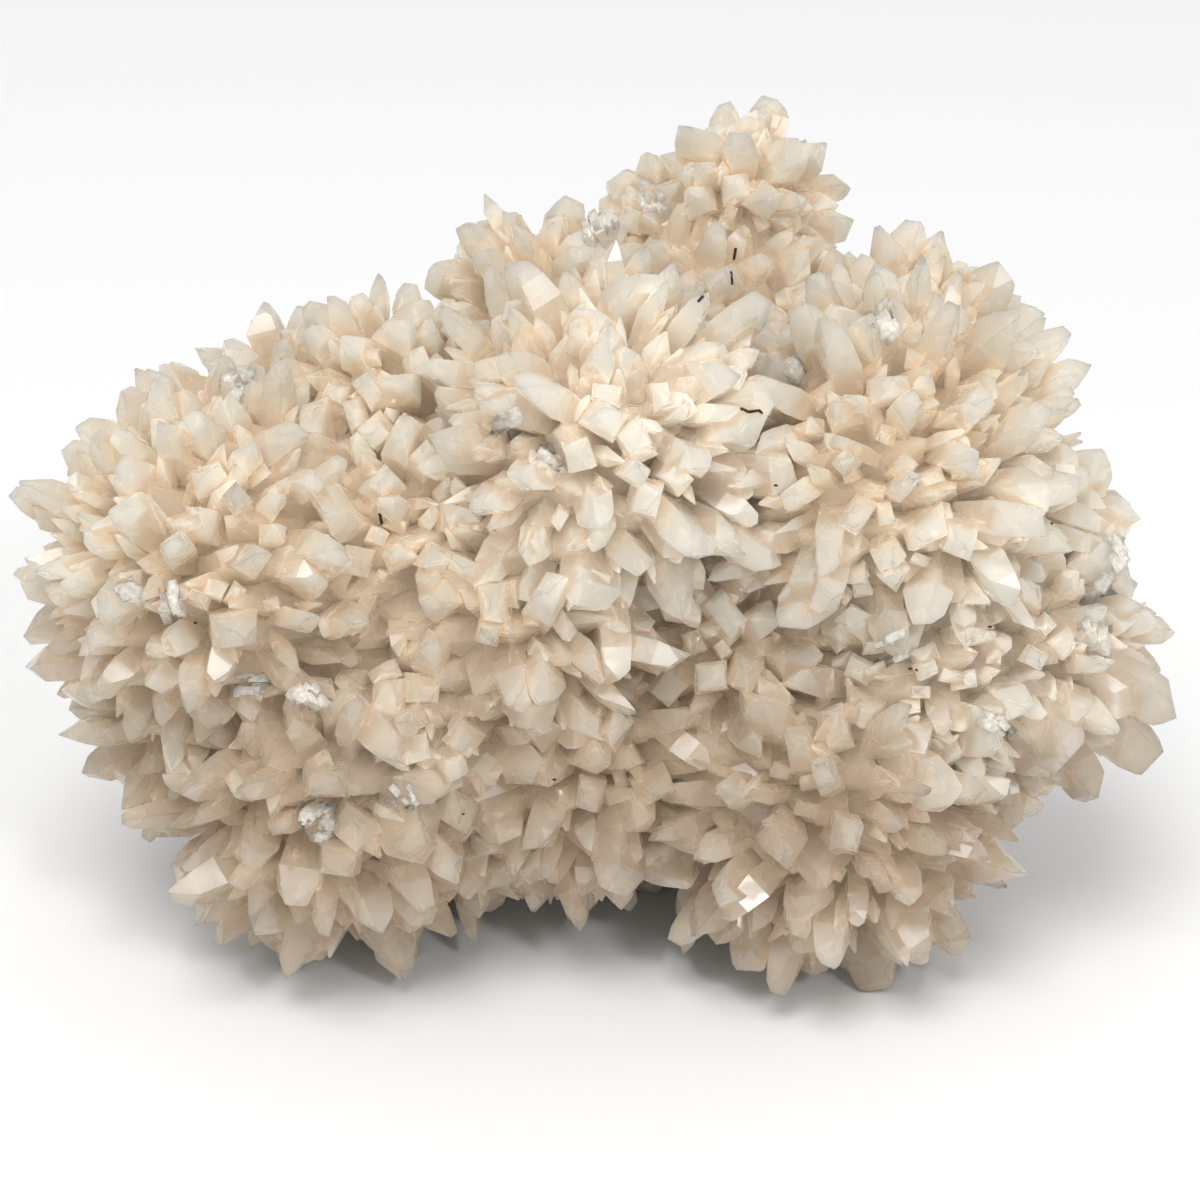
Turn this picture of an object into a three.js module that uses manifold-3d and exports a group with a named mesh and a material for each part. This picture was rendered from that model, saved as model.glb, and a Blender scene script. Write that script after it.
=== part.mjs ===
// A cluster of dog-tooth calcite: rounded lobes that grew into each other, covered all over
// with blunt crystals that stand out from the middle of their own lobe.
// It is one natural piece, about 300 mm wide, lying on a small flat spot where it broke
// away from the wall of its pocket.
// Millimetres, +Z up, +X to the right of the showy face, which looks towards -Y.
// The origin is the middle of the flat resting spot.

import * as THREE from "three";
import { ConvexGeometry } from "three/addons/geometries/ConvexGeometry.js";
import { mergeVertices } from "three/addons/utils/BufferGeometryUtils.js";
import Module from "manifold-3d";

const wasm = await Module();
wasm.setup();

// The showy face leans back from upright, and the lobes are laid out on it:
// "across" runs to the right, "up" climbs the face and "out" stands off it.
const faceLean = THREE.MathUtils.degToRad(28);
const faceCentre = new THREE.Vector3(0, -27, 90);
const acrossAxis = new THREE.Vector3(1, 0, 0);
const upAxis = new THREE.Vector3(0, Math.sin(faceLean), Math.cos(faceLean));
const outAxis = new THREE.Vector3(0, -Math.cos(faceLean), Math.sin(faceLean));

// Each lobe: its place on the face, the radius of its core, how far apart its crystals stand
// and how far they stand out beyond the core.
const lobes = [
  { name: "left", across: -95, up: 8, out: 15, core: 40, apart: 11.5, long: 12 },
  { name: "leftSide", across: -102, up: -28, out: 0, core: 24, apart: 11, long: 9 },
  { name: "leftFoot", across: -70, up: -43, out: 2, core: 38, apart: 11.5, long: 12 },
  { name: "leftRidge", across: -54, up: 47, out: 5, core: 26, apart: 11, long: 9 },
  { name: "leftShoulder", across: -82, up: 49, out: -12, core: 19, apart: 11, long: 8 },
  { name: "leftValley", across: -52, up: 14, out: 12, core: 32, apart: 11, long: 10 },
  { name: "leftHollow", across: -46, up: -26, out: 6, core: 34, apart: 11, long: 10 },
  { name: "leftInstep", across: -36, up: -52, out: -4, core: 24, apart: 11, long: 10 },
  { name: "middle", across: 0, up: 40, out: 32, core: 34, apart: 11.5, long: 12 },
  { name: "middleRidge", across: -16, up: 74, out: 0, core: 22, apart: 11, long: 9 },
  { name: "middleFront", across: -22, up: 0, out: 16, core: 32, apart: 11.5, long: 12 },
  { name: "middleFoot", across: -8, up: -36, out: -6, core: 36, apart: 11, long: 11 },
  { name: "recess", across: 26, up: -12, out: 0, core: 32, apart: 11, long: 10 },
  { name: "right", across: 74, up: 31, out: 15, core: 41, apart: 11.5, long: 12 },
  { name: "rightRidge", across: 81, up: 61, out: -5, core: 25, apart: 11, long: 9 },
  { name: "rightSaddle", across: 56, up: 68, out: -12, core: 18, apart: 11, long: 8 },
  { name: "rightSide", across: 110, up: 16, out: 0, core: 20, apart: 11, long: 8 },
  { name: "rightFlank", across: 110, up: -10, out: 3, core: 26, apart: 11, long: 10 },
  { name: "rightValley", across: 36, up: 28, out: 4, core: 28, apart: 11, long: 10 },
  { name: "rightHollow", across: 82, up: -18, out: 6, core: 32, apart: 11, long: 10 },
  { name: "rightFoot", across: 61, up: -49, out: 5, core: 36, apart: 11.5, long: 12 },
  { name: "crown", across: 36, up: 105, out: -15, core: 16, apart: 9, long: 9 },
  { name: "crownSlope", across: 20, up: 96, out: -24, core: 16, apart: 9, long: 7 },
  { name: "neck", across: 34, up: 74, out: -18, core: 26, apart: 11, long: 8 },
  { name: "backLeft", across: -68, up: 8, out: -32, core: 43, apart: 15, long: 9 },
  { name: "backMiddle", across: 4, up: 26, out: -38, core: 50, apart: 15, long: 9 },
  { name: "backRight", across: 66, up: 16, out: -32, core: 44, apart: 15, long: 9 },
  { name: "footLeft", across: -40, up: -51, out: -58, core: 34, apart: 15, long: 5 },
  { name: "footMiddle", across: 0, up: -51, out: -58, core: 34, apart: 15, long: 5 },
  { name: "footRight", across: 40, up: -51, out: -58, core: 34, apart: 15, long: 5 },
];

// The crystals that catch the eye. "at" is where one stands on its lobe and "points" is its
// own direction, both as [clock, lean] in degrees: clock 0 is to the right and 90 up the
// face, and lean is towards the viewer.
const showCrystals = [
  { lobe: "middle", at: [39, 25], points: [40, 20], long: 24, wide: 14 },
  { lobe: "middle", at: [12, 35], points: [8, 30], long: 18, wide: 13 },
  { lobe: "middle", at: [-12, 22], points: [-8, 18], long: 18, wide: 14 },
  { lobe: "middle", at: [-34, 15], points: [-38, 14], long: 22, wide: 14 },
  { lobe: "middle", at: [-48, 48], points: [-50, 32], long: 18, wide: 16 },
  { lobe: "middle", at: [-64, 14], points: [-60, 10], long: 20, wide: 12 },
  { lobe: "middle", at: [-98, 34], points: [-80, 20], long: 15, wide: 15 },
  { lobe: "middleFront", at: [12, 40], points: [-85, 16], long: 27, wide: 15 },
  { lobe: "middleFront", at: [-24, 38], points: [-14, 22], long: 22, wide: 13 },
  { lobe: "middleFront", at: [150, 52], points: [-110, 40], long: 14, wide: 13 },
  { lobe: "left", at: [160, 5], points: [168, 8], long: 14, wide: 14 },
  { lobe: "left", at: [182, 4], points: [184, 4], long: 15, wide: 11 },
  { lobe: "left", at: [216, 2], points: [184, 0], long: 20, wide: 11 },
  { lobe: "left", at: [106, 0], points: [104, 5], long: 15, wide: 14 },
  { lobe: "leftFoot", at: [70, 58], points: [-47, 30], long: 25, wide: 17 },
  { lobe: "leftFoot", at: [34, 44], points: [-66, 20], long: 24, wide: 16 },
  { lobe: "leftFoot", at: [-20, 56], points: [-78, 26], long: 17, wide: 15 },
  { lobe: "leftFoot", at: [-100, 0], points: [-97, -2], long: 15, wide: 13 },
  { lobe: "leftFoot", at: [-68, 2], points: [-78, 0], long: 20, wide: 12 },
  { lobe: "leftFoot", at: [-142, 6], points: [-128, 6], long: 12, wide: 13 },
  { lobe: "leftFoot", at: [-165, 8], points: [-150, 8], long: 12, wide: 13 },
  { lobe: "middleFoot", at: [100, 62], points: [-58, 28], long: 23, wide: 16 },
  { lobe: "middleFoot", at: [-58, 50], points: [-88, 20], long: 20, wide: 16 },
  { lobe: "middleFoot", at: [12, 52], points: [-36, 22], long: 21, wide: 13 },
  { lobe: "right", at: [-28, 58], points: [-8, 34], long: 19, wide: 16 },
  { lobe: "right", at: [-6, 0], points: [-6, 0], long: 15, wide: 11 },
  { lobe: "right", at: [-130, 52], points: [-100, 34], long: 16, wide: 16 },
  { lobe: "rightFlank", at: [-20, 45], points: [-34, 14], long: 24, wide: 15 },
  { lobe: "rightFlank", at: [-48, 20], points: [-40, 8], long: 21, wide: 13 },
  { lobe: "rightFlank", at: [-80, 52], points: [-74, 28], long: 19, wide: 16 },
  { lobe: "rightFlank", at: [4, 0], points: [0, 0], long: 14, wide: 9 },
  { lobe: "rightFlank", at: [-72, 10], points: [-60, 4], long: 20, wide: 14 },
  { lobe: "rightHollow", at: [-50, 0], points: [-76, 0], long: 18, wide: 11 },
  { lobe: "rightFoot", at: [-128, 12], points: [-94, 4], long: 19, wide: 13 },
  { lobe: "rightFoot", at: [-152, -4], points: [-106, -4], long: 27, wide: 10 },
  { lobe: "rightFoot", at: [-78, -2], points: [-77, -3], long: 20, wide: 13 },
  { lobe: "rightFoot", at: [-50, 4], points: [-58, 2], long: 18, wide: 12 },
  { lobe: "rightFoot", at: [40, 62], points: [-44, 30], long: 21, wide: 16 },
  { lobe: "crown", at: [75, 0], points: [66, 0], long: 14, wide: 11 },
  { lobe: "crown", at: [12, 0], points: [6, 5], long: 15, wide: 9 },
  { lobe: "crown", at: [-18, 4], points: [-8, 5], long: 15, wide: 9 },
];

// The middle of the mass, which every crystal faces away from, and the mass's half sizes.
const heart = new THREE.Vector3(0, 4, 76);
const halfSizes = new THREE.Vector3(150, 90, 100);

// Crystals stop short of the resting plane by this much, apart from those on the flat spot.
const floorGap = 1;

// How close two crystals may stand, as a share of their usual distance.
const closest = 0.72;

// How far a crystal's length may differ from its lobe's, the length of the blunt ridge it ends
// in, and how much lower one end of the ridge is: all as shares of its length.
const lengthSpread = 0.45;
const ridgeShare = 0.42;
const ridgeDrop = 0.15;

// A larger crystal: how deep it is rooted, how wide its root and how high its shoulder are,
// and how far the shoulder's corners step up and down.
const rootDepth = 7;
const rootShare = 0.62;
const shoulderShare = 0.66;
const shoulderStepUp = 0.1;
const shoulderStepDown = 0.06;
const flattest = 0.68;
const roundest = 0.92;

// An even spread of numbers from 0 to 1 that depends only on n.
function chance(n) {
  const wave = Math.sin(n * 12.9898 + 4.1414) * 43758.5453;
  return wave - Math.floor(wave);
}

function spread(n, amount) {
  return (chance(n) * 2 - 1) * amount;
}

function facePoint({ across, up, out }) {
  return faceCentre
    .clone()
    .addScaledVector(acrossAxis, across)
    .addScaledVector(upAxis, up)
    .addScaledVector(outAxis, out);
}

function faceDirection([clock, lean]) {
  const turn = THREE.MathUtils.degToRad(clock);
  const rise = THREE.MathUtils.degToRad(lean);
  return new THREE.Vector3()
    .addScaledVector(acrossAxis, Math.cos(turn) * Math.cos(rise))
    .addScaledVector(upAxis, Math.sin(turn) * Math.cos(rise))
    .addScaledVector(outAxis, Math.sin(rise));
}

// The i-th of n directions spread evenly over a ball, each one nudged off its place.
function spreadDirection(i, n, seed) {
  const goldenTurn = Math.PI * (3 - Math.sqrt(5));
  const height = 1 - (2 * i + 1) / n;
  const reach = Math.sqrt(1 - height * height);
  const turn = i * goldenTurn + spread(seed, 1.2 / Math.sqrt(n));
  const nudge = spread(seed + 0.1, 0.9 / Math.sqrt(n));
  return new THREE.Vector3(reach * Math.cos(turn), reach * Math.sin(turn), height + nudge).normalize();
}

// Whether nothing of the other lobes lies beyond a point as the heart sees it.
function isOutermost(point, home) {
  const sight = new THREE.Ray(heart, point.clone().sub(heart).normalize());
  const distance = point.distanceTo(heart);
  return lobes.every((lobe) => {
    if (lobe === home) return true;
    const centre = facePoint(lobe);
    const along = centre.clone().sub(heart).dot(sight.direction);
    const halfChordSq = lobe.core ** 2 - sight.distanceSqToPoint(centre);
    return halfChordSq < 0 || along + Math.sqrt(halfChordSq) < distance;
  });
}

// One place for each crystal, all over the outside of the lobes.
function crystalPlaces() {
  const places = [];
  lobes.forEach((lobe, l) => {
    const count = Math.round((4 * Math.PI * lobe.core ** 2) / lobe.apart ** 2);
    for (let i = 0; i < count; i++) {
      const seed = 1000 * l + i;
      const outward = spreadDirection(i, count, seed);
      const root = facePoint(lobe).addScaledVector(outward, lobe.core);
      const standsFree = places.every((other) => other.root.distanceTo(root) > closest * lobe.apart);
      if (standsFree && isOutermost(root, lobe)) places.push({ root, outward, long: lobe.long, seed });
    }
  });
  return places;
}

function solidOf(geometry) {
  geometry.deleteAttribute("normal");
  geometry.deleteAttribute("uv");
  const merged = mergeVertices(geometry, 1e-4);
  return new wasm.Manifold(
    new wasm.Mesh({
      numProp: 3,
      vertProperties: merged.attributes.position.array,
      triVerts: new Uint32Array(merged.index.array),
    }),
  );
}

// The sides on which each crystal meets its neighbours, as pairs of corners. A hull round
// the places, as the heart sees them, tells which are neighbours: three share a corner.
function crystalSides(places) {
  const scaled = places.map(({ root }) => root.clone().sub(heart).divide(halfSizes));
  const seen = scaled.map((point) => point.clone().normalize());
  const hull = mergeVertices(new ConvexGeometry(seen).deleteAttribute("normal"), 1e-6);
  const hullPoint = new THREE.Vector3();
  const placeOf = [...Array(hull.attributes.position.count).keys()].map((v) => {
    hullPoint.fromBufferAttribute(hull.attributes.position, v);
    return seen.findIndex((point) => point.distanceTo(hullPoint) < 1e-5);
  });
  const cornerPastEdge = new Map();
  for (let first = 0; first < hull.index.count; first += 3) {
    const three = [0, 1, 2].map((k) => placeOf[hull.index.getX(first + k)]);
    const distance = three.reduce((sum, place) => sum + scaled[place].length() / 3, 0);
    const corner = new THREE.Vector3();
    three.forEach((place) => corner.add(seen[place]));
    corner.setLength(distance).multiply(halfSizes).add(heart);
    three.forEach((place, k) => cornerPastEdge.set(`${place} ${three[(k + 1) % 3]}`, corner));
  }
  const sides = places.map(() => []);
  cornerPastEdge.forEach((corner, edge) => {
    const [place, neighbour] = edge.split(" ");
    sides[place].push([cornerPastEdge.get(`${neighbour} ${place}`), corner]);
  });
  return sides;
}

// The two ends of the blunt ridge that a crystal closes in to. With less sway it stands more
// over the middle of its own corners and points more away from the heart. One that points
// down stops short of the resting plane.
function crystalRidge({ root, outward, long, seed }, middle, sway) {
  const base = middle.clone().lerp(root, sway);
  const axis = base.clone().sub(heart).normalize().lerp(outward, sway).normalize();
  const room = base.z > floorGap && axis.z < 0 ? (base.z - floorGap) / -axis.z : Infinity;
  const reach = Math.min(room, long * (1 + spread(seed + 0.6, lengthSpread)));
  const along = new THREE.Vector3(spread(seed + 0.1, 1), spread(seed + 0.3, 1), spread(seed + 0.5, 1));
  along.addScaledVector(axis, -along.dot(axis)).setLength(0.5 * long * ridgeShare * sway);
  const tip = base.addScaledVector(axis, reach);
  const low = tip.clone().sub(along).addScaledVector(axis, -ridgeDrop * reach * sway);
  return [tip.add(along), low];
}

// A crystal's faces: one from each side to the end of the ridge that is nearer, and one
// more where two sides go to different ends.
function crystalFaces(sides, [high, low]) {
  const nearer = (corner) => (corner.distanceTo(high) < corner.distanceTo(low) ? high : low);
  const faces = [];
  sides.forEach(([from, to]) => {
    faces.push([from, to, nearer(from)]);
    if (nearer(from) !== nearer(to)) faces.push([to, nearer(to), nearer(from)]);
  });
  return faces;
}

function looksAway([a, b, c]) {
  const normal = b.clone().sub(a).cross(c.clone().sub(a));
  return normal.dot(a.clone().sub(heart)) > 0;
}

// A crystal sways as far towards its lobe's own direction as it can without folding over
// its neighbours.
function growCrystal(place, sides) {
  const middle = new THREE.Vector3();
  sides.forEach(([from]) => middle.addScaledVector(from, 1 / sides.length));
  for (let sway = 1; sway > 0; sway -= 0.25) {
    const faces = crystalFaces(sides, crystalRidge(place, middle, sway));
    if (faces.every(looksAway)) return faces;
  }
  return crystalFaces(sides, crystalRidge(place, middle, 0));
}

// The whole mass is one closed skin of crystals.
function massSolid() {
  const places = crystalPlaces();
  const faces = crystalSides(places).flatMap((sides, p) => growCrystal(places[p], sides));
  return solidOf(new THREE.BufferGeometry().setFromPoints(faces.flat()));
}

// A blunt tooth: six sides widen from the root to the shoulder, then close in to the tip.
// The shoulder's corners step up and down by turns, as the faces of a calcite tip meet them.
function toothSolid({ root, axis, long, wide, flat, spin }) {
  const sides = 6;
  const half = wide / 2;
  const shoulder = long * shoulderShare;
  const profile = [
    new THREE.Vector2(0, -rootDepth),
    new THREE.Vector2(half * rootShare, -rootDepth),
    new THREE.Vector2(half, shoulder),
    new THREE.Vector2(0, long),
  ];
  const geometry = new THREE.LatheGeometry(profile, sides);
  for (let side = 0; side <= sides; side++) {
    const shoulderCorner = side * profile.length + 2;
    const step = side % 2 ? shoulderStepUp : -shoulderStepDown;
    geometry.attributes.position.setY(shoulderCorner, shoulder + step * long);
  }
  const stand = new THREE.Quaternion().setFromUnitVectors(new THREE.Vector3(0, 1, 0), axis);
  geometry.scale(1, 1, flat).rotateY(spin);
  geometry.applyQuaternion(stand).translate(root.x, root.y, root.z);
  return solidOf(geometry);
}

function showCrystalSolid({ lobe, at, points, long, wide }, i) {
  const home = lobes.find(({ name }) => name === lobe);
  const root = facePoint(home).addScaledVector(faceDirection(at), home.core);
  const flat = flattest + (roundest - flattest) * chance(i + 0.5);
  return toothSolid({ root, axis: faceDirection(points), long, wide, flat, spin: i });
}

// All that lies below the resting plane.
function underFloorSolid() {
  const reach = 500;
  return solidOf(new THREE.BoxGeometry(reach, reach, reach).translate(0, 0, -reach / 2));
}

function clusterMesh() {
  let cluster = massSolid();
  showCrystals.forEach((tooth, i) => {
    cluster = cluster.add(showCrystalSolid(tooth, i));
  });
  cluster = cluster.subtract(underFloorSolid());
  const { vertProperties, triVerts } = cluster.getMesh();
  const geometry = new THREE.BufferGeometry();
  geometry.setAttribute("position", new THREE.BufferAttribute(vertProperties, 3));
  geometry.setIndex(new THREE.BufferAttribute(triVerts, 1));
  const calcite = new THREE.MeshStandardMaterial({ color: 0xe4d8c2, roughness: 0.4, metalness: 0 });
  const mesh = new THREE.Mesh(geometry, calcite);
  mesh.name = "calcite_cluster";
  return mesh;
}

const specimen = new THREE.Group();
specimen.add(clusterMesh());

export default specimen;
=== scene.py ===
import math
import bmesh
import bpy
from mathutils import Matrix, Vector, kdtree
from mathutils.bvhtree import BVHTree


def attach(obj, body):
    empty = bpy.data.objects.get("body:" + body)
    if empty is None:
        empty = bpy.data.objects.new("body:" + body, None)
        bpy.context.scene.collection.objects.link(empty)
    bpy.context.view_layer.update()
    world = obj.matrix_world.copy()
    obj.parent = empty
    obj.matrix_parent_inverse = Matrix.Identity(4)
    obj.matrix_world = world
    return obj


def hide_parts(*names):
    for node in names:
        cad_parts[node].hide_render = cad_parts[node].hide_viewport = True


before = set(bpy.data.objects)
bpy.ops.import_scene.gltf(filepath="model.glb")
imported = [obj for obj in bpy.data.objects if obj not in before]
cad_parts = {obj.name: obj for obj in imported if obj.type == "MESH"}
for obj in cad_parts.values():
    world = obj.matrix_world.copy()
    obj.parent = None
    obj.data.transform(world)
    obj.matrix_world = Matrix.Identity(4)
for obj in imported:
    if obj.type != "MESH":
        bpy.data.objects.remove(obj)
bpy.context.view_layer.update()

mm = 0.001
fullTurn = 6.28
thirdTurn = 2.09
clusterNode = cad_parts["calcite_cluster"]

# The showy face leans back, and everything on it is placed by across, up and out, in mm.
face = {
    "lean": math.radians(28),
    "centre": (0, -27, 90),
}
acrossAxis = Vector((1, 0, 0))
upAxis = Vector((0, math.sin(face["lean"]), math.cos(face["lean"])))
outAxis = Vector((0, -math.cos(face["lean"]), math.sin(face["lean"])))
heart = Vector((0, 4, 76))  # the middle of the mass


def facePoint(across, up, out):
    return Vector(face["centre"]) + acrossAxis * across + upAxis * up + outAxis * out


def faceDirection(clock, lean):
    turn = math.radians(clock)
    rise = math.radians(lean)
    flat = acrossAxis * math.cos(turn) + upAxis * math.sin(turn)
    return flat * math.cos(rise) + outAxis * math.sin(rise)


def chance(n):
    wave = math.sin(n * 12.9898 + 4.1414) * 43758.5453
    return wave - math.floor(wave)


def spread(n, amount):
    return (chance(n) * 2 - 1) * amount


# Each lobe, in mm: across, up, out, its core's radius, and how far crystals stand apart and out.
lobes = {
    "left": (-95, 8, 15, 40, 11.5, 12),
    "leftSide": (-102, -28, 0, 24, 11, 11),
    "leftFoot": (-70, -43, 2, 38, 11.5, 14),
    "leftRidge": (-54, 47, 5, 26, 11, 9),
    "leftShoulder": (-82, 49, -12, 19, 11, 8),
    "leftValley": (-52, 14, 12, 32, 11, 10),
    "leftHollow": (-46, -26, 6, 34, 11, 10),
    "leftInstep": (-36, -52, -4, 24, 11, 10),
    "middle": (0, 40, 32, 34, 11.5, 12),
    "middleRidge": (-16, 74, 0, 22, 11, 9),
    "middleFront": (-22, 0, 16, 32, 11.5, 12),
    "middleFoot": (-8, -36, -6, 36, 11, 11),
    "recess": (26, -12, 0, 32, 11, 10),
    "right": (74, 31, 15, 41, 11.5, 12),
    "rightRidge": (81, 61, -5, 25, 11, 9),
    "rightSaddle": (56, 68, -12, 18, 11, 8),
    "rightSide": (110, 16, 0, 20, 11, 8),
    "rightFlank": (110, -10, 3, 26, 11, 10),
    "rightValley": (36, 28, 4, 28, 11, 10),
    "rightHollow": (82, -18, 6, 32, 11, 10),
    "rightFoot": (61, -49, 5, 36, 11.5, 14),
    "crown": (36, 105, -15, 16, 9, 9),
    "crownSlope": (20, 96, -24, 16, 9, 7),
    "neck": (34, 74, -18, 26, 11, 8),
    "backLeft": (-68, 8, -32, 43, 15, 9),
    "backMiddle": (4, 26, -38, 50, 15, 9),
    "backRight": (66, 16, -32, 44, 15, 9),
    "footLeft": (-40, -51, -58, 34, 15, 5),
    "footMiddle": (0, -51, -58, 34, 15, 5),
    "footRight": (40, -51, -58, 34, 15, 5),
}

# The larger crystals: lobe, where one stands on it, where it points, its length and width.
showCrystals = [
    ("middle", (39, 25), (40, 20), 24, 14),
    ("middle", (12, 35), (8, 30), 18, 13),
    ("middle", (-12, 22), (-8, 18), 18, 14),
    ("middle", (-34, 15), (-38, 14), 22, 14),
    ("middle", (-48, 48), (-50, 32), 18, 16),
    ("middle", (-64, 14), (-60, 10), 20, 12),
    ("middle", (-98, 34), (-80, 20), 15, 15),
    ("middleFront", (12, 40), (-85, 16), 27, 15),
    ("middleFront", (-24, 38), (-14, 22), 22, 13),
    ("middleFront", (150, 52), (-110, 40), 14, 13),
    ("left", (160, 5), (168, 8), 14, 14),
    ("left", (182, 4), (184, 4), 15, 11),
    ("left", (216, 2), (184, 0), 20, 11),
    ("left", (106, 0), (104, 5), 15, 14),
    ("leftFoot", (70, 58), (-47, 30), 25, 17),
    ("leftFoot", (34, 44), (-66, 20), 24, 16),
    ("leftFoot", (-20, 56), (-78, 26), 17, 15),
    ("leftFoot", (-100, 0), (-97, -2), 15, 13),
    ("leftFoot", (-68, 2), (-78, 0), 20, 12),
    ("leftFoot", (-142, 6), (-128, 6), 12, 13),
    ("leftFoot", (-165, 8), (-150, 8), 12, 13),
    ("middleFoot", (100, 62), (-58, 28), 23, 16),
    ("middleFoot", (-58, 50), (-88, 20), 20, 16),
    ("middleFoot", (12, 52), (-36, 22), 21, 13),
    ("right", (-28, 58), (-8, 34), 19, 16),
    ("right", (-6, 0), (-6, 0), 15, 11),
    ("right", (-130, 52), (-100, 34), 16, 16),
    ("rightFlank", (-20, 45), (-34, 14), 24, 15),
    ("rightFlank", (-48, 20), (-40, 8), 21, 13),
    ("rightFlank", (-80, 52), (-74, 28), 19, 16),
    ("rightFlank", (4, 0), (0, 0), 14, 9),
    ("rightFlank", (-72, 10), (-60, 4), 20, 14),
    ("rightHollow", (-50, 0), (-76, 0), 18, 11),
    ("rightFoot", (-128, 12), (-94, 4), 19, 13),
    ("rightFoot", (-152, -4), (-106, -4), 27, 10),
    ("rightFoot", (-78, -2), (-77, -3), 20, 13),
    ("rightFoot", (-50, 4), (-58, 2), 18, 12),
    ("rightFoot", (40, 62), (-44, 30), 21, 16),
    ("crown", (75, 0), (66, 0), 14, 11),
    ("crown", (12, 0), (6, 5), 15, 9),
    ("crown", (-18, 4), (-8, 5), 15, 9),
]

# One blade is drawn at its usual size in mm; a crystal is a stretched and turned copy.
blade = {
    "variants": 16,
    "half": 6.5,  # half its width
    "thick": 4,  # half its thickness
    "long": 20,
    "rings": [(-0.25, 0.6), (0.5, 1.0), (0.78, 0.76), (1.25, 0.12)],  # height, width share
    "cornerSpread": 0.1,
    "facets": 3,
    "slopes": (1.0, 1.7),  # how steeply a tip facet falls
    "thinSteeper": 1.3,
    "gableTurn": 0.5,  # how far the two facets of a gable may turn
    "facetTurn": 0.35,  # how far one facet may turn
    "facetDrop": 0.8,  # how far one facet may cut below the tip, mm
    "tipDrift": 1.4,
    "bevel": 0,
    "sharp": 0.5,  # edges that turn by more than this are bevelled
    "bevelFrom": 0.44,  # share of the length below which no edge is bevelled
}

# The larger crystals keep their width nearly to the tip.
showRings = [(-0.25, 0.6), (0.46, 0.97), (0.7, 0.93), (1.3, 0.4)]
showBlade = dict(blade, bevel=0.3, slopes=(0.8, 1.25), rings=showRings)

# The small crystals in between are simpler.
filler = dict(blade, rings=[(-0.3, 0.65), (0.55, 1.0), (1.0, 0.14)], facets=0)

growth = {
    "drawnIn": 0.955,  # the frame's skin between the blades
    "closer": 0.84,  # than the frame's own crystals
    "turnNudge": 1.2,
    "heightNudge": 0.9,
    "sunk": 5,  # roots lie this far under the lobe's radius, mm
    "uneven": 0.45,  # share by which lengths differ
    "wide": (8.5, 17),
    "flat": (0.5, 0.85),  # thickness against width
    "sway": 0.38,
    "spin": 0.7,  # how far a broad side may turn from facing outward
    "toFace": 0.6,  # how much broad sides lean toward the showy face
    "longer": 1.14,
    "fillCloser": 0.74,
    "fillWide": (5, 9),
    "fillLong": (0.5, 1.0),
    "fillSway": 0.6,
    "showLong": 1.02,
    "showWide": 1.05,
    "showFlat": 0.68,
    "showFlatMore": 0.24,
    "closest": 0.72,  # share of the usual distance at which a second root is left out
    "lowestPlace": 3,
    "lowestRoot": 4,
    "shortest": 5,
    "floorGap": 0.9,
}


def spreadDirection(i, n, seed):
    goldenTurn = math.pi * (3 - math.sqrt(5))
    height = 1 - (2 * i + 1) / n
    reach = math.sqrt(1 - height * height)
    turn = i * goldenTurn + spread(seed, growth["turnNudge"] / math.sqrt(n))
    nudge = spread(seed + 0.1, growth["heightNudge"] / math.sqrt(n))
    return Vector((reach * math.cos(turn), reach * math.sin(turn), height + nudge)).normalized()


def isOutermost(point, home):
    sight = (point - heart).normalized()
    distance = (point - heart).length
    for name, (across, up, out, core, _, _) in lobes.items():
        if name == home:
            continue
        toCentre = facePoint(across, up, out) - heart
        along = toCentre.dot(sight)
        halfChordSq = core * core - (toCentre.length_squared - along * along)
        if halfChordSq > 0 and along + math.sqrt(halfChordSq) > distance:
            return False
    return point.z > growth["lowestPlace"]


# The crystals of the frame's own skin, and smaller ones that fill in between them.
def crystalPlaces(closer, firstSeed):
    places = []
    for number, (name, (across, up, out, core, apart, tall)) in enumerate(lobes.items()):
        apart = apart * closer
        count = round(4 * math.pi * core ** 2 / apart ** 2)
        for i in range(count):
            seed = firstSeed + 1000 * number + i
            outward = spreadDirection(i, count, seed)
            root = facePoint(across, up, out) + outward * core
            near = growth["closest"] * apart
            if any((other["root"] - root).length < near for other in places):
                continue
            if isOutermost(root, name):
                places.append({"root": root, "outward": outward, "long": tall, "seed": seed})
    return places


def between(limits, share):
    return limits[0] + (limits[1] - limits[0]) * share


def swayed(direction, seed, amount):
    nudge = Vector((spread(seed + 0.11, 1), spread(seed + 0.37, 1), spread(seed + 0.73, 1)))
    return (direction + nudge * amount).normalized()


# A crystal that points down stops short of the resting plane.
def aboveFloor(crystal):
    root, axis = crystal["root"], crystal["axis"]
    if axis.z < 0 and root.z + axis.z * crystal["long"] < growth["floorGap"]:
        crystal["long"] = (root.z - growth["floorGap"]) / -axis.z
    return crystal["long"] > growth["shortest"] and root.z > growth["lowestRoot"]


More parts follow.
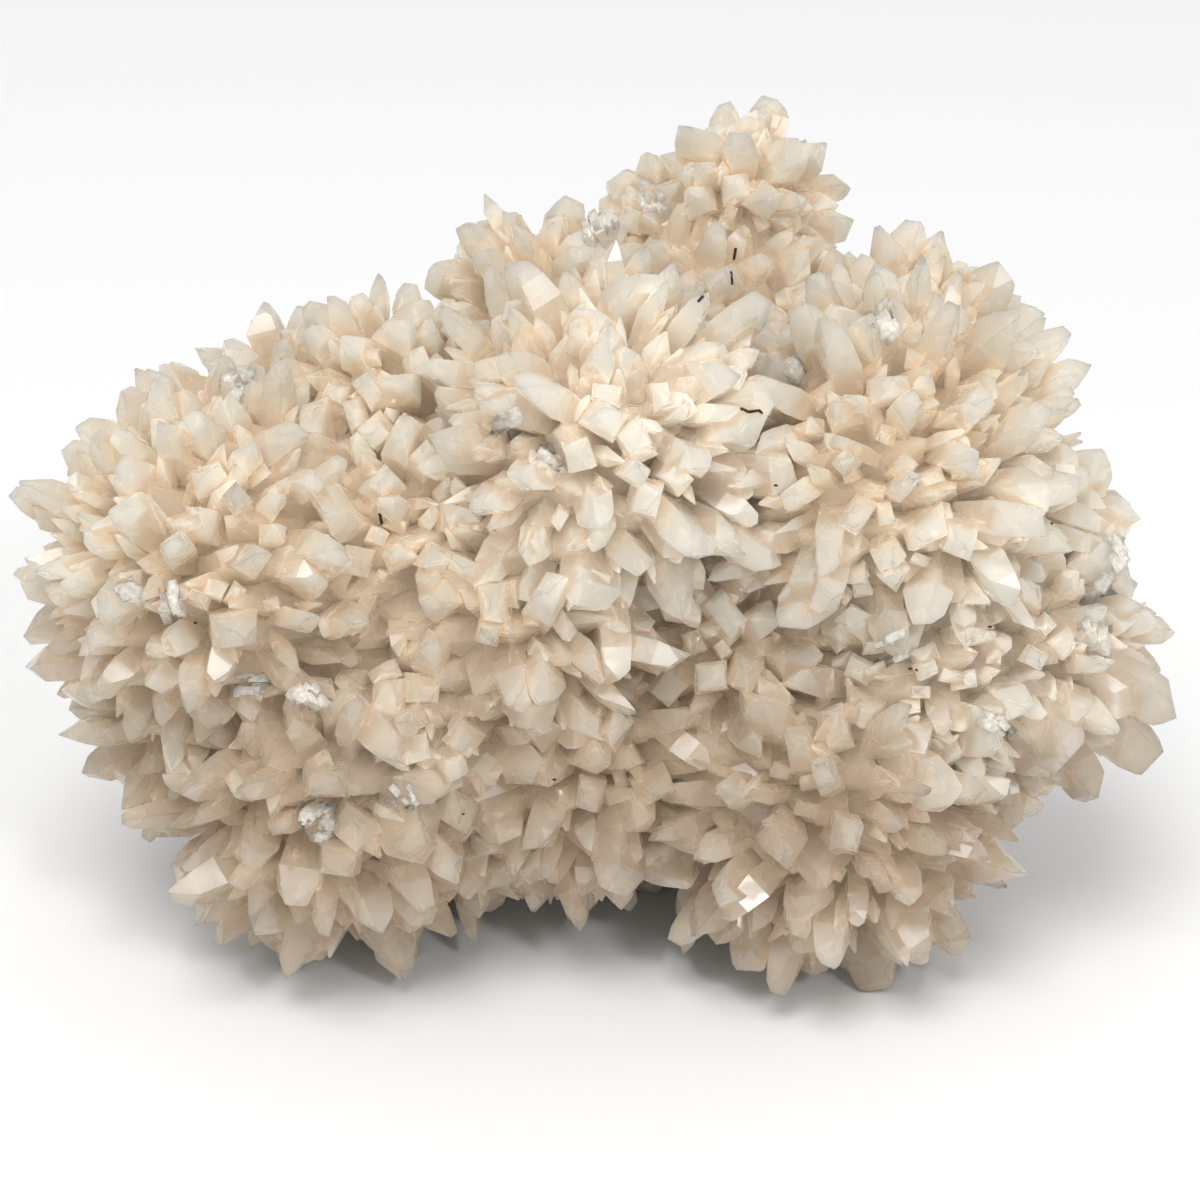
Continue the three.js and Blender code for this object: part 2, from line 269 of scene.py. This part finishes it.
# kind is the place of a crystal's shape in kinds: main, filler or larger.
def listCrystals():
    crystals = []
    for place in crystalPlaces(growth["closer"], 0):
        seed = place["seed"]
        crystals.append({
            "root": place["root"] - place["outward"] * growth["sunk"],
            "axis": swayed(place["outward"], seed, growth["sway"]),
            "long": growth["sunk"]
            + growth["longer"] * place["long"] * (1 + spread(seed + 0.6, growth["uneven"])),
            "wide": between(growth["wide"], chance(seed + 0.45)),
            "flat": between(growth["flat"], chance(seed + 0.81)),
            "seed": seed,
            "kind": 0,
        })
    for place in crystalPlaces(growth["fillCloser"], 50000):
        seed = place["seed"]
        crystals.append({
            "root": place["root"] - place["outward"] * growth["sunk"],
            "axis": swayed(place["outward"], seed, growth["fillSway"]),
            "long": growth["sunk"] + place["long"] * between(growth["fillLong"], chance(seed + 0.6)),
            "wide": between(growth["fillWide"], chance(seed + 0.45)),
            "flat": between(growth["flat"], chance(seed + 0.81)),
            "seed": seed,
            "kind": 1,
        })
    for number, (lobe, at, points, tall, wide) in enumerate(showCrystals):
        across, up, out, core = lobes[lobe][:4]
        crystals.append({
            "root": facePoint(across, up, out) + faceDirection(*at) * core,
            "axis": faceDirection(*points),
            "long": tall * growth["showLong"],
            "wide": wide * growth["showWide"],
            "flat": growth["showFlat"] + growth["showFlatMore"] * chance(number + 0.5),
            "seed": 90000 + number,
            "kind": 2,
        })
    return [crystal for crystal in crystals if aboveFloor(crystal)]


def cutTip(bm, shape, variant):
    gable = variant % 4 > 0  # else three-sided
    firstTurn = spread(variant + 0.3, shape["gableTurn"]) if gable else fullTurn * chance(variant + 0.3)
    apex = Vector((spread(variant + 0.15, 1), spread(variant + 0.55, 0.5), 0)) * shape["tipDrift"]
    for facet in range(min(shape["facets"], 2 if gable else 3)):
        turn = firstTurn + facet * (math.pi if gable else thirdTurn)
        turn += spread(variant + 0.11 * facet, shape["facetTurn"])
        slope = between(shape["slopes"], chance(variant * 3 + facet + 0.5))
        drop = shape["facetDrop"] * chance(variant * 5 + facet + 0.9)
        steep = slope * math.sin(turn) * shape["thinSteeper"]
        normal = Vector((slope * math.cos(turn), steep, 1)).normalized()
        allParts = bm.verts[:] + bm.edges[:] + bm.faces[:]
        point = apex + Vector((0, 0, shape["long"] - drop))
        cut = bmesh.ops.bisect_plane(bm, geom=allParts, plane_co=point, plane_no=normal, clear_outer=True)
        rim = [part for part in cut["geom_cut"] if isinstance(part, bmesh.types.BMEdge)]
        bmesh.ops.edgeloop_fill(bm, edges=rim)


def makeBlade(shape, variant):
    flatToCorner = 0.866  # of a hexagon
    bm = bmesh.new()
    bmesh.ops.create_cone(
        bm, cap_ends=True, cap_tris=False, segments=6, radius1=1, radius2=1, depth=0.1
    )
    top = max(bm.faces, key=lambda side: side.calc_center_median().z)
    bottom = min(bm.faces, key=lambda side: side.calc_center_median().z)
    for number, (height, share) in enumerate(shape["rings"]):
        if number > 1:
            top = bmesh.ops.extrude_discrete_faces(bm, faces=[top])["faces"][0]
        for vert in (top if number else bottom).verts:
            corner = round(math.atan2(vert.co.y, vert.co.x) / math.pi * 3) % 6
            radius = share * (1 + spread(37 * variant + corner, shape["cornerSpread"]))
            turn = corner * math.pi / 3
            vert.co = (
                math.cos(turn) * radius * shape["half"],
                math.sin(turn) * radius * shape["thick"] / flatToCorner,
                height * shape["long"],
            )
    cutTip(bm, shape, variant)
    if shape["bevel"]:
        lowest = shape["bevelFrom"] * shape["long"]
        sharp = [edge for edge in bm.edges if edge.calc_face_angle(0) > shape["sharp"]]
        sharp = [edge for edge in sharp if min(vert.co.z for vert in edge.verts) > lowest]
        bmesh.ops.bevel(
            bm, geom=sharp, offset=shape["bevel"], affect="EDGES", segments=1, profile=0.5, material=-1,
            clamp_overlap=True,
        )
    bmesh.ops.triangulate(bm, faces=bm.faces)
    mesh = bpy.data.meshes.new("blade" + str(variant))
    bm.to_mesh(mesh)
    bm.free()
    reach = mesh.attributes.new("reach", "FLOAT", "POINT")
    reach.data.foreach_set("value", [max(0, vert.co.z / shape["long"]) for vert in mesh.vertices])
    mesh.attributes.new("tint", "FLOAT", "POINT")
    return mesh


# A blade shows its broad side outward, like a petal.
def crystalMatrix(crystal):
    axis = crystal["axis"]
    outward = (crystal["root"] - heart).normalized() + outAxis * growth["toFace"]
    broad = outward - axis * outward.dot(axis)
    broad = Matrix.Rotation(spread(crystal["seed"] + 0.29, growth["spin"]), 3, axis) @ broad.normalized()
    turn = Matrix((broad.cross(axis), broad, axis)).transposed().to_4x4()
    wide = crystal["wide"] / 2 / blade["half"]
    thick = crystal["wide"] / 2 * crystal["flat"] / blade["thick"]
    size = Matrix.Diagonal((wide, thick, crystal["long"] / blade["long"], 1))
    return Matrix.Scale(mm, 4) @ Matrix.Translation(crystal["root"]) @ turn @ size


# Crystals of one group keep clear of each other, so that a group is a clean closed mesh.
grouping = {
    "steps": [(-0.25, 0.65), (0.1, 0.85), (0.4, 1.0), (0.7, 0.85), (0.98, 0.3)],  # place, width share
    "wider": 1.06,
    "clearance": 1.3,  # mm
    "search": 42,  # mm
    "touching": 0.65,  # share of two lengths within which crystals can meet
}


def groupCrystals(crystals):
    for crystal in crystals:
        root, half = crystal["root"], crystal["wide"] / 2 * grouping["wider"]
        reach = crystal["axis"] * crystal["long"]
        crystal["points"] = [(root + reach * step, half * share) for step, share in grouping["steps"]]
    tree = kdtree.KDTree(len(crystals))
    for i, crystal in enumerate(crystals):
        tree.insert(crystal["points"][2][0], i)
    tree.balance()
    groups = []
    for i, crystal in enumerate(crystals):
        taken = set()
        centre = crystal["points"][2][0]
        for _, j, distance in tree.find_range(centre, grouping["search"]):
            other = crystals[j]
            if "group" not in other or other["group"] in taken:
                continue
            apart = grouping["touching"] * (crystal["long"] + other["long"])
            if distance > apart + (crystal["wide"] + other["wide"]) / 2:
                continue
            if any(
                (a - b).length < halfA + halfB + grouping["clearance"]
                for a, halfA in crystal["points"] for b, halfB in other["points"]
            ):
                taken.add(other["group"])
        crystal["group"] = next(n for n in range(len(groups) + 1) if n not in taken)
        if crystal["group"] == len(groups):
            groups.append([])
        groups[crystal["group"]].append(crystal)
    return groups


def joinedGroup(name, group, kinds):
    bm = bmesh.new()
    for crystal in group:
        kind = kinds[crystal["kind"]]
        one = kind[int(chance(crystal["seed"] + 0.93) * len(kind))].copy()
        one.transform(crystalMatrix(crystal))
        tint = chance(crystal["seed"] + 0.17)
        one.attributes["tint"].data.foreach_set("value", [tint] * len(one.vertices))
        bm.from_mesh(one)
        bpy.data.meshes.remove(one)
    mesh = bpy.data.meshes.new(name)
    bm.to_mesh(mesh)
    bm.free()
    piece = bpy.data.objects.new(name, mesh)
    bpy.context.scene.collection.objects.link(piece)
    return piece


# The frame's own skin, drawn in, closes the ground between the blades.
def groundSkin():
    piece = bpy.data.objects.new("calciteCluster", clusterNode.data.copy())
    bpy.context.scene.collection.objects.link(piece)
    mesh = piece.data
    bm = bmesh.new()
    bm.from_mesh(mesh)
    bmesh.ops.remove_doubles(bm, verts=bm.verts, dist=0.0005 * mm)
    for vert in bm.verts:
        vert.co = heart * mm + (vert.co - heart * mm) * growth["drawnIn"]
    bm.to_mesh(mesh)
    bm.free()
    mesh.materials.clear()
    mesh.attributes.remove(mesh.attributes["custom_normal"])
    reach = mesh.attributes.new("reach", "FLOAT", "POINT")
    mesh.attributes.new("tint", "FLOAT", "POINT")
    centres = [(facePoint(*lobe[:3]), lobe[3], lobe[5]) for lobe in lobes.values()]
    for number, vert in enumerate(mesh.vertices):
        place = vert.co / mm
        height, tall = min(((place - centre).length - core, tall) for centre, core, tall in centres)
        reach.data[number].value = max(0, (height + growth["sunk"]) / (tall + growth["sunk"]))
    return piece


def underFloor():
    bm = bmesh.new()
    bmesh.ops.create_cube(bm, size=1)
    bmesh.ops.translate(bm, verts=bm.verts, vec=(0, 0, -0.5))
    mesh = bpy.data.meshes.new("underFloor")
    bm.to_mesh(mesh)
    bm.free()
    piece = bpy.data.objects.new("underFloor", mesh)
    bpy.context.scene.collection.objects.link(piece)
    return piece


# Joining leaves a few closed pockets inside and bits that touch nothing; only the stone is kept.
def dropLooseParts(mesh):
    bm = bmesh.new()
    bm.from_mesh(mesh)
    seen = set()
    parts = []
    for first in bm.verts:
        if first in seen:
            continue
        seen.add(first)
        part = [first]
        for vert in part:
            for edge in vert.link_edges:
                other = edge.other_vert(vert)
                if other not in seen:
                    seen.add(other)
                    part.append(other)
        parts.append(part)
    parts.sort(key=len)
    bmesh.ops.delete(bm, geom=[vert for part in parts[:-1] for vert in part], context="VERTS")
    bm.to_mesh(mesh)
    bm.free()
    print("loose parts dropped", len(parts) - 1)


def growCluster(crystals, kinds):
    groups = groupCrystals(crystals)
    print("crystals", len(crystals), "in groups", [len(group) for group in groups])
    helpers = [joinedGroup("group" + str(number), group, kinds) for number, group in enumerate(groups)]
    cluster = groundSkin()
    helpers.append(underFloor())
    for piece in helpers:
        joiner = cluster.modifiers.new(piece.name, "BOOLEAN")
        joiner.operation = "DIFFERENCE" if piece.name == "underFloor" else "UNION"
        joiner.solver = "MANIFOLD"
        joiner.object = piece
    depsgraph = bpy.context.evaluated_depsgraph_get()
    mesh = bpy.data.meshes.new_from_object(cluster.evaluated_get(depsgraph))
    cluster.modifiers.clear()
    cluster.data = mesh
    dropLooseParts(mesh)
    mesh.materials.clear()
    mesh.shade_flat()
    for piece in helpers:
        bpy.data.objects.remove(piece)
    mesh.calc_loop_triangles()
    print("cluster", len(mesh.polygons), "faces", len(mesh.loop_triangles), "triangles")
    return cluster


crystals = listCrystals()
kinds = [
    [makeBlade(shape, variant) for variant in range(shape["variants"])]
    for shape in (blade, filler, showBlade)
]
cluster = growCluster(crystals, kinds)
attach(cluster, "root")
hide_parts("calcite_cluster")


# Node helpers: a value, a link or a colour can go into any input.
def addNode(tree, kind, settings=None, **inputs):
    node = tree.nodes.new(kind)
    for name, value in (settings or {}).items():
        setattr(node, name, value)
    for name, value in inputs.items():
        socket = node.inputs[int(name[1:])] if name[0] == "_" else node.inputs[name]
        if isinstance(value, bpy.types.NodeSocket):
            tree.links.new(value, socket)
        else:
            socket.default_value = value
    return node


def maths(tree, operation, a, b):
    return addNode(tree, "ShaderNodeMath", {"operation": operation}, _0=a, _1=b).outputs[0]


def rescale(tree, value, low, high, newLow=0.0, newHigh=1.0):
    node = addNode(tree, "ShaderNodeMapRange", {"interpolation_type": "SMOOTHSTEP"}, Value=value)
    for name, amount in (("From Min", low), ("From Max", high), ("To Min", newLow), ("To Max", newHigh)):
        node.inputs[name].default_value = amount
    return node.outputs["Result"]


def blendColours(tree, share, first, second, mode="MIX"):
    settings = {"data_type": "RGBA", "blend_type": mode}
    return addNode(tree, "ShaderNodeMix", settings, _0=share, _6=first, _7=second).outputs[2]


def noise(tree, place, scale, detail):
    inputs = {"Vector": place, "Scale": scale, "Detail": detail, "Roughness": 0.55}
    return addNode(tree, "ShaderNodeTexNoise", None, **inputs).outputs[0]


# Fine unevenness, used by all three finishes.
def buildGrain():
    group = bpy.data.node_groups.new("mineralGrain", "ShaderNodeTree")
    group.interface.new_socket("Place", in_out="INPUT", socket_type="NodeSocketVector")
    for name in ("Scale", "Detail", "Low", "High"):
        group.interface.new_socket(name, in_out="INPUT", socket_type="NodeSocketFloat")
    for name in ("Grain", "Height"):
        group.interface.new_socket(name, in_out="OUTPUT", socket_type="NodeSocketFloat")
    given = addNode(group, "NodeGroupInput").outputs
    height = noise(group, given["Place"], given["Scale"], given["Detail"])
    share = addNode(
        group, "ShaderNodeMapRange", {"interpolation_type": "SMOOTHSTEP"}, Value=height,
        _1=given["Low"], _2=given["High"],
    ).outputs["Result"]
    addNode(group, "NodeGroupOutput", None, Grain=share, Height=height)
    return group


mineralGrain = buildGrain()


def grained(tree, place, scale, detail, low, high):
    inputs = {"Place": place, "Scale": scale, "Detail": detail, "Low": low, "High": high}
    node = addNode(tree, "ShaderNodeGroup", {"node_tree": mineralGrain}, **inputs)
    return node.outputs["Grain"], node.outputs["Height"]


# 1 near the middle of a spot and 0 outside it.
def nearness(tree, place, spots):
    solid = 0.35  # share of a spot's size that is fully covered
    total = None
    for across, up, out, size in spots:
        point = facePoint(across, up, out) * mm
        away = addNode(tree, "ShaderNodeVectorMath", {"operation": "DISTANCE"}, _0=place, _1=point)
        near = rescale(tree, away.outputs["Value"], size * solid * mm, size * mm, 1.0, 0.0)
        total = near if total is None else maths(tree, "MAXIMUM", total, near)
    return total


calciteLook = {
    "creviceToneAndShade": (0.46, 0.365, 0.265, 1),
    "honey": (0.48, 0.40, 0.305, 1),
    "cream": (0.505, 0.45, 0.365, 1),
    "pale": (0.55, 0.52, 0.455, 1),
    "white": (0.615, 0.59, 0.53, 1),
    "warm": (0.47, 0.38, 0.28, 1),
    "shaded": (0.31, 0.24, 0.165, 1),
    # painted shade: the low colour darkens the lower part of the showy face
    "low": (0.33, 0.26, 0.19, 1),
    "lowShadeFrom": -60 * mm,  # along the showy face, from its middle
    "lowShadeTo": 24 * mm,
    "lowShadeShare": 0.92,
    "lowShadeTips": 0.8,  # share of it that the tips take
    "lowShadeReach": (0.5, 1.1),
    "crowded": (0.18, 0.46),  # reach at which the crevice colour, partly the stone's own tan and partly painted shade, ends
    "creamy": (0.3, 0.7),  # and at which cream takes over from honey
    "tips": (0.62, 1.05),
    "tipShare": 0.85,
    "cloudScale": 38,
    "clouding": 0.9,
    "mottleScale": 190,
    "mottleEnds": (0.3, 0.7),
    "mottle": (0.97, 1.02),
    "whiteSpots": [(10, 32, 45, 56), (98, 0, 20, 66), (-52, -38, 25, 30)],  # across, up, out, size
    "whiteReach": (0.4, 1.3),
    "whiteShare": (0.2, 0.9),
    "warmSpots": [(-62, -10, 30, 44), (30, 66, 0, 34)],
    "warmShare": 0.45,
    "shadedSpots": [(12, -29, 11, 46)],
    "shadedShare": 0.5,
    "singles": (0.55, 1.0),
    "singlePale": 0.45,  # how much paler single crystals are than their neighbours
    "roughness": 0.24,
    "roughMore": 0.06,
    "ior": 1.58,
    "depth": (1.0, 0.96, 0.9),
    "depthScale": 18 * mm,
}


def makeCalcite():
    look = calciteLook
    material = bpy.data.materials.new("milkyCalcite")
    material.use_nodes = True
    tree = material.node_tree
    shader = tree.nodes["Principled BSDF"]
    place = addNode(tree, "ShaderNodeTexCoord").outputs["Object"]
    reach = addNode(tree, "ShaderNodeAttribute", {"attribute_name": "reach"}).outputs["Fac"]
    tint = addNode(tree, "ShaderNodeAttribute", {"attribute_name": "tint"}).outputs["Fac"]
    cloud = noise(tree, place, look["cloudScale"], 1)
    mottle = grained(tree, place, look["mottleScale"], 1, *look["mottleEnds"])[0]

    # From root to tip the colour runs from crevice through honey and cream to pale: partly the calcite's
    # own warmer roots and whiter tips, partly painted shade darkening the roots in the crevices.
    colour = blendColours(tree, rescale(tree, reach, *look["crowded"]), look["creviceToneAndShade"], look["honey"])
    drift = maths(tree, "MULTIPLY", maths(tree, "SUBTRACT", cloud, 0.5), look["clouding"])
    clouded = maths(tree, "ADD", reach, drift)
    colour = blendColours(tree, rescale(tree, clouded, *look["creamy"]), colour, look["cream"])
    tipped = rescale(tree, clouded, *look["tips"], 0, look["tipShare"])
    colour = blendColours(tree, tipped, colour, look["pale"])

    # how far up the showy face; lower down, the colour darkens toward the low colour as painted shade
    # under the cluster, a little less at the tips
    upward = addNode(tree, "ShaderNodeVectorMath", {"operation": "DOT_PRODUCT"}, _0=place, _1=upAxis)
    middleUp = upAxis.dot(facePoint(0, 0, 0)) * mm
    upward = maths(tree, "SUBTRACT", upward.outputs["Value"], middleUp)
    low = rescale(tree, upward, look["lowShadeFrom"], look["lowShadeTo"], look["lowShadeShare"], 0.0)
    low = maths(tree, "MULTIPLY", low, rescale(tree, reach, *look["lowShadeReach"], 1.0, look["lowShadeTips"]))
    colour = blendColours(tree, low, colour, look["low"])

    warm = maths(tree, "MULTIPLY", nearness(tree, place, look["warmSpots"]), look["warmShare"])
    colour = blendColours(tree, warm, colour, look["warm"])
    either = maths(tree, "ADD", reach, tint)
    atTips = rescale(tree, either, *look["whiteReach"], *look["whiteShare"])
    white = maths(tree, "MULTIPLY", nearness(tree, place, look["whiteSpots"]), atTips)
    colour = blendColours(tree, white, colour, look["white"])
    shaded = maths(tree, "MULTIPLY", nearness(tree, place, look["shadedSpots"]), look["shadedShare"])
    colour = blendColours(tree, shaded, colour, look["shaded"])
    single = rescale(tree, tint, *look["singles"], 0.0, look["singlePale"])
    colour = blendColours(tree, maths(tree, "MULTIPLY", single, reach), colour, look["pale"])
    shade = rescale(tree, mottle, 0, 1, *look["mottle"])
    grey = addNode(tree, "ShaderNodeCombineColor", None, Red=shade, Green=shade, Blue=shade).outputs[0]
    colour = blendColours(tree, 1.0, colour, grey, "MULTIPLY")
    tree.links.new(colour, shader.inputs["Base Color"])

    smoothest, roughest = look["roughness"] - look["roughMore"], look["roughness"] + look["roughMore"]
    rough = rescale(tree, mottle, 0, 1, smoothest, roughest)
    tree.links.new(rough, shader.inputs["Roughness"])
    shader.inputs["IOR"].default_value = look["ior"]
    shader.subsurface_method = "BURLEY"
    shader.inputs["Subsurface Weight"].default_value = 1
    shader.inputs["Subsurface Radius"].default_value = look["depth"]
    shader.inputs["Subsurface Scale"].default_value = look["depthScale"]
    return material


cluster.data.materials.append(makeCalcite())
print("calcite finished")


# What lies on the crystals is found from the camera: across and up, in mm, on the showy face.
surface = BVHTree.FromObject(cluster, bpy.context.evaluated_depsgraph_get())
eye = facePoint(0, 0, 900) * mm  # where the camera stands


def onSurface(across, up, lift=0.0):
    sight = (facePoint(across, up, 0) * mm - eye).normalized()
    point = surface.ray_cast(eye, sight)[0]
    return None if point is None else point - sight * lift * mm


def newPiece(name, bm):
    mesh = bpy.data.meshes.new(name)
    bm.to_mesh(mesh)
    bm.free()
    piece = bpy.data.objects.new(name, mesh)
    bpy.context.scene.collection.objects.link(piece)
    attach(piece, "root")
    return piece


# Broken crystals show stepped cleavage: small rhombs, all turned alike within one patch.
cleavage = {
    "patches": [  # across, up, size
        (-123, 3, 5), (-112, 0, 6), (-92, -22, 4), (-76, -24, 6), (-73, -58, 6), (73, 73, 5), (131, 4, 5),
        (129, -10, 7), (76, -13, 5), (13, 106, 5), (-94, 56, 5), (0, 97, 5), (-25, 46, 4), (-52, -52, 5),
        (104, -32, 4), (136, 14, 5), (-14, 37, 3), (50, 60, 3),
    ],
    "chips": 14,
    "size": (1.2, 4.2),
    "sides": (1, 1.4, 0.7),
    "gathered": 0.7,  # how much of a patch's size its chips take up
    "sunk": 0.6,  # mm
    "skew": 0.22,
    "frostDark": (0.56, 0.52, 0.45, 1),
    "frostLight": (0.72, 0.70, 0.65, 1),
    "frostScale": 700,
    "frostEnds": (0.35, 0.65),  # noise that counts as 0 and as 1
    "bump": 0.3,
    "bumpHeight": 0.2 * mm,
    "roughness": 0.12,
    "depthScale": 8 * mm,
}


def cleavageChips():
    bm = bmesh.new()
    lean = cleavage["skew"]
    skew = Matrix(((1, lean, 0.1, 0), (0, 1, lean, 0), (0, 0, 0.8, 0), (0, 0, 0, 1)))
    for number, (across, up, size) in enumerate(cleavage["patches"]):
        size *= cleavage["gathered"]
        axis = (chance(number + 0.1), chance(number + 0.2), 1)
        turn = Matrix.Rotation(fullTurn * chance(number + 0.4), 4, axis)
        for chip in range(cleavage["chips"]):
            seed = 70000 + 100 * number + chip
            shift, rise = spread(seed, size), spread(seed + 0.5, size)
            point = onSurface(across + shift, up + rise, -cleavage["sunk"])
            if point is None:
                continue
            side = between(cleavage["size"], chance(seed + 0.7) ** 2) * mm
            sides = Matrix.Diagonal([side * share for share in cleavage["sides"]] + [1])
            place = Matrix.Translation(point) @ turn @ skew @ sides
            bmesh.ops.create_cube(bm, size=1, matrix=place)
    return newPiece("cleavageChips", bm)


chips = cleavageChips()

# Dark root threads caught in the clefts, and a few specks.
debris = {
    "threads": [  # routes, across and up
        [(35.5, 92), (35, 89), (34.2, 86), (34.6, 82.5)],
        [(29, 81), (27, 79.5), (25.6, 78)],
        [(37, 50), (39, 49.2), (41.5, 49.6), (44, 48)],
        [(-57.6, 22.5), (-57.2, 20.4), (-56.4, 18.6)],
    ],
    "specks": [
        (81, -18), (83, -18.3), (102, -7), (-36, -56), (-106, -6), (46, 30), (118, 20), (-12, -47),
    ],
    "lift": 0.5,  # mm
    "longest": 8,  # mm; a longer stretch would hang between two lobes
    "thick": 0.42,
    "taper": 0.8,
    "speck": 0.38,
    "speckLong": 1.8,
    "dark": (0.012, 0.008, 0.005, 1),
    "light": (0.07, 0.045, 0.028, 1),
    "grainScale": 1500,
    "grainEnds": (0.25, 0.75),
    "roughness": 0.8,
}


def debrisPieces():
    bm = bmesh.new()
    for route in debris["threads"]:
        points = [onSurface(across, up, debris["lift"]) for across, up in route]
        for first, last in zip(points, points[1:]):
            along = last - first
            if along.length > debris["longest"] * mm:
                continue
            turn = along.to_track_quat("Z", "Y").to_matrix().to_4x4()
            place = Matrix.Translation((first + last) / 2) @ turn
            thick = debris["thick"] * mm
            bmesh.ops.create_cone(
                bm, cap_ends=True, segments=6, radius1=thick, radius2=thick * debris["taper"],
                depth=along.length, matrix=place,
            )
    for across, up in debris["specks"]:
        speck = debris["speck"]
        size = Matrix.Diagonal((speck * debris["speckLong"], speck, speck, 1)) @ Matrix.Scale(mm, 4)
        place = Matrix.Translation(onSurface(across, up)) @ size
        bmesh.ops.create_icosphere(bm, subdivisions=1, radius=1, matrix=place)
    return newPiece("rootThreads", bm)


threads = debrisPieces()


def makeBroken():
    material = bpy.data.materials.new("brokenCalcite")
    material.use_nodes = True
    tree = material.node_tree
    shader = tree.nodes["Principled BSDF"]
    place = addNode(tree, "ShaderNodeTexCoord").outputs["Object"]
    frost, height = grained(tree, place, cleavage["frostScale"], 2, *cleavage["frostEnds"])
    colour = blendColours(tree, frost, cleavage["frostDark"], cleavage["frostLight"])
    tree.links.new(colour, shader.inputs["Base Color"])
    shader.inputs["Roughness"].default_value = cleavage["roughness"]
    shader.inputs["IOR"].default_value = calciteLook["ior"]
    shader.subsurface_method = "BURLEY"
    shader.inputs["Subsurface Weight"].default_value = 1
    shader.inputs["Subsurface Radius"].default_value = (1, 1, 1)
    shader.inputs["Subsurface Scale"].default_value = cleavage["depthScale"]
    bumps = {"Strength": cleavage["bump"], "Distance": cleavage["bumpHeight"], "Height": height}
    bump = addNode(tree, "ShaderNodeBump", None, **bumps)
    tree.links.new(bump.outputs["Normal"], shader.inputs["Normal"])
    return material


def makeDarkRoot():
    material = bpy.data.materials.new("darkRoot")
    material.use_nodes = True
    tree = material.node_tree
    shader = tree.nodes["Principled BSDF"]
    place = addNode(tree, "ShaderNodeTexCoord").outputs["Object"]
    grain = grained(tree, place, debris["grainScale"], 2, *debris["grainEnds"])[0]
    colour = blendColours(tree, grain, debris["dark"], debris["light"])
    tree.links.new(colour, shader.inputs["Base Color"])
    shader.inputs["Roughness"].default_value = debris["roughness"]
    return material


chips.data.materials.append(makeBroken())
threads.data.materials.append(makeDarkRoot())
print("chips", len(chips.data.polygons), "threads", len(threads.data.polygons))

studio = {
    "floorSize": 3,  # metres to each side
    "floorColour": (0.93, 0.93, 0.93, 1),
    "floorRoughness": 0.6,
    "worldColour": (1, 1, 1, 1),
    "worldStrength": 0.62,
    "lights": [  # name, place, size in metres, watts
        ("key", (-0.4, -1.3, 3.0), 1.6, 58),
        ("glint", (0.9, -1.6, 1.5), 0.3, 9),
    ],
}

floorMesh = bpy.data.meshes.new("floor")
bm = bmesh.new()
bmesh.ops.create_grid(bm, x_segments=1, y_segments=1, size=studio["floorSize"])
bm.to_mesh(floorMesh)
bm.free()
floor = bpy.data.objects.new("floor", floorMesh)
bpy.context.scene.collection.objects.link(floor)
floorFinish = bpy.data.materials.new("paleFloor")
floorFinish.use_nodes = True
floorInputs = floorFinish.node_tree.nodes["Principled BSDF"].inputs
floorInputs["Base Color"].default_value = studio["floorColour"]
floorInputs["Roughness"].default_value = studio["floorRoughness"]
floorMesh.materials.append(floorFinish)

world = bpy.data.worlds.new("studio")
world.use_nodes = True
worldInputs = world.node_tree.nodes["Background"].inputs
worldInputs["Color"].default_value = studio["worldColour"]
worldInputs["Strength"].default_value = studio["worldStrength"]
bpy.context.scene.world = world
bpy.context.scene.view_settings.view_transform = "Standard"

middle = facePoint(0, 0, 0) * mm


def softLight(name, place, size, energy):
    data = bpy.data.lights.new(name, "AREA")
    data.size = size
    data.energy = energy
    light = bpy.data.objects.new(name, data)
    light.location = place
    light.rotation_euler = (middle - Vector(place)).to_track_quat("-Z", "Y").to_euler()
    bpy.context.scene.collection.objects.link(light)


for name, place, size, energy in studio["lights"]:
    softLight(name, place, size, energy)

view = {
    "distance": 0.9,  # metres
    "lens": 103.2,
    "sensor": 36,
}
camera = bpy.data.objects.new("camera", bpy.data.cameras.new("camera"))
camera.data.lens = view["lens"]
camera.data.sensor_width = view["sensor"]
camera.location = middle + outAxis * view["distance"]
camera.rotation_euler = (-outAxis).to_track_quat("-Z", "Y").to_euler()
bpy.context.scene.collection.objects.link(camera)
bpy.context.scene.camera = camera
